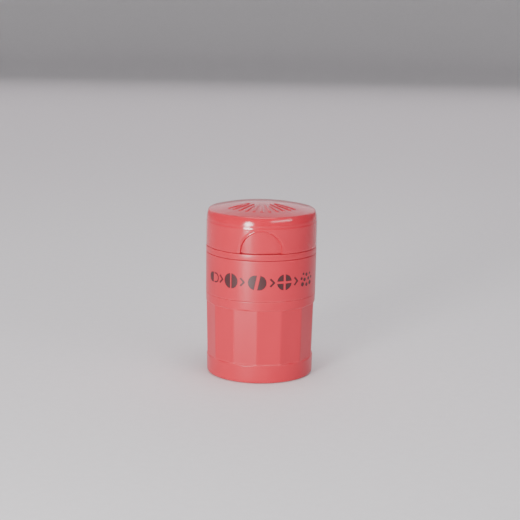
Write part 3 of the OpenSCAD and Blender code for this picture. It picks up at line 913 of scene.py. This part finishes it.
def leaf():
    """The lid's middle knuckle and the leaf that joins it to the side."""
    outline = circle_yz(HINGE_Y, HINGE_Z, KNUCKLE_R - 0.02, 180, 360, 24)
    outline += [(BODY_R - 0.3, HINGE_Z + 5.2), (BODY_R - 1.5, HINGE_Z + 5.2)]
    obj = prism_x("leaf", outline, -LID_KNUCKLE_W / 2, LID_KNUCKLE_W / 2, 0.22)
    return cut(obj, [tube("cutter", "X", (0, HINGE_Y, HINGE_Z), PIN_R + 0.08, LID_KNUCKLE_W + 2, 0.02)])


def boss(side):
    """A boss under the dome for one of the blade holder's screws."""
    high = TOP_Z - 1.6
    centre = (side * BOSS_X, 0, (BOSS_LOW + high) / 2)
    return tube("boss", "Z", centre, BOSS_R, high - BOSS_LOW, 0.12, BOSS_BORE_R)


def web(turn):
    """A stiffening web under the dome, which follows its slope."""
    half = 0.6
    corners = [(10, RIM_Z - 3), (22.4, RIM_Z - 3), (22.4, RIM_Z - 1.2), (10, RIM_Z + 0.8)]
    verts = [(r * MM, y * MM, z * MM) for y in (-half, half) for r, z in corners]
    faces = [[0, 1, 2, 3], [7, 6, 5, 4], [0, 4, 5, 1], [1, 5, 6, 2], [2, 6, 7, 3], [3, 7, 4, 0]]
    obj = new_object("web", verts, faces)
    obj.data.transform(Matrix.Rotation(math.radians(turn), 4, "Z"))
    round_edges(obj, 0.12, 40)
    return finish_mesh(obj)


lid = lathe("lid_skin", lid_profile, graded([(28, 0.35), (64, 0.6), (180, 2.0)]), lid_warp)
cut(lid, [room_for_knuckle(s * (LID_KNUCKLE_W / 2 - 0.05), s * (HINGE_W / 2 + 0.25)) for s in (-1, 1)])
lid = join("lid_shell_detail", [lid, leaf(), boss(-1), boss(1)] + [web(60 * i) for i in range(6)])
keep(lid, "lid", coral_lid, ["lid_shell"])

# ---- Pieces whose CAD shape is right: welded copies, most with rounded edges ----
keep(refined("crush_liner"), "cup", white, ["crush_liner"])
keep(refined("plunger_seal"), "crusher_ring", silicone, ["plunger_seal"])
keep(refined("plunger_body"), "plunger", coral_inside, ["plunger_body"])
keep(refined("crush_plate", 0.10), "plunger", white, ["crush_plate"])
keep(refined("storage_seal"), "cutter", silicone, ["storage_seal"])
keep(refined("pill_cradle", 0.18), "cutter", white, ["pill_cradle"])
for side in ("left", "right"):
    keep(refined("cradle_grip_" + side, 0.07), "cutter", grip_rubber, ["cradle_grip_" + side])
    keep(refined("blade_screw_" + side, 0.08), "lid", steel_screw, ["blade_screw_" + side])
keep(refined("hinge_pin", 0.14), "cutter", steel_pin, ["hinge_pin"])
keep(refined("blade_holder", 0.16), "lid", white, ["blade_holder"])
keep(refined("blade_clamp", 0.16), "lid", white, ["blade_clamp"])
keep(refined("blade", 0.0, 3.0), "lid", steel_blade, ["blade"])


# ---- Floor, light and camera ----
def floor():
    """A pale floor that curves up all round."""
    m = Nodes("pale_floor")
    grain = m.noise(m.scaled(260, 260, 260), 4.0, 0.6)
    base = m.mix(m.spread(grain, 0.3, 0.7, 0.0, 1.0), (0.80, 0.79, 0.80), (0.83, 0.82, 0.83))
    m.set(Base_Color=base, Roughness=0.75, Normal=m.bump(grain, 0.1, 0.00002))
    flat, curve, high, below = 1700, 600, 2400, -0.1
    path = [(0, below)] + line((300, below), (flat, below), 200)
    path += arc(flat, curve + below, curve, -84, 0, 14) + [(flat + curve, high)]
    obj = lathe("floor", path, even(96), ring=False)
    obj.data.materials.append(m.mat)


def area(name, azimuth, elevation, distance, size, power, colour, aim_z=0.045, shape="RECTANGLE"):
    """An area light that faces the object's axis at aim_z. Lengths are in metres."""
    data = bpy.data.lights.new(name, "AREA")
    data.shape = shape
    data.size, data.size_y = size
    data.energy = power
    data.color = colour
    obj = bpy.data.objects.new(name, data)
    a, e = math.radians(azimuth), math.radians(elevation)
    aim = Vector((0, 0, aim_z))
    away = Vector((math.sin(a) * math.cos(e), -math.cos(a) * math.cos(e), math.sin(e)))
    obj.location = aim + distance * away
    obj.rotation_euler = (aim - obj.location).to_track_quat("-Z", "Y").to_euler()
    bpy.context.scene.collection.objects.link(obj)


def camera():
    """The photo's camera: straight in front, a little above the object, and slightly rolled."""
    elevation, roll, distance = math.radians(11.9), math.radians(0.97), 0.700
    data = bpy.data.cameras.new("camera")
    data.lens = 107.0
    data.sensor_width = 36
    obj = bpy.data.objects.new("camera", data)
    aim = Vector((-0.0005, 0, 0.0513))
    obj.location = aim + distance * Vector((0, -math.cos(elevation), math.sin(elevation)))
    look = (aim - obj.location).to_track_quat("-Z", "Y").to_matrix().to_4x4()
    obj.rotation_euler = (look @ Matrix.Rotation(roll, 4, "Z")).to_euler()
    bpy.context.scene.collection.objects.link(obj)
    bpy.context.scene.camera = obj


def world():
    back = bpy.data.worlds.new("world")
    back.use_nodes = True
    back.node_tree.nodes["Background"].inputs["Color"].default_value = (0.93, 0.93, 0.96, 1)
    back.node_tree.nodes["Background"].inputs["Strength"].default_value = 0.12
    bpy.context.scene.world = back


floor()
area("key", -27, 6.5, 1.0, (0.30, 0.28), 11.5, (1.0, 0.985, 0.975), 0.05, "ELLIPSE")
area("strip", -29, 0, 0.42, (0.08, 0.08), 0.46, (1.0, 1.0, 1.0), 0.044)
area("side", 43, 19, 1.0, (0.80, 0.10), 3.2, (0.96, 0.98, 1.0))
area("top", 0, 84, 1.1, (0.7, 0.7), 9.0, (1.0, 0.96, 0.99))
area("back", 180, 24, 1.3, (2.6, 0.8), 6.0, (1.0, 0.88, 0.95))
world()
camera()
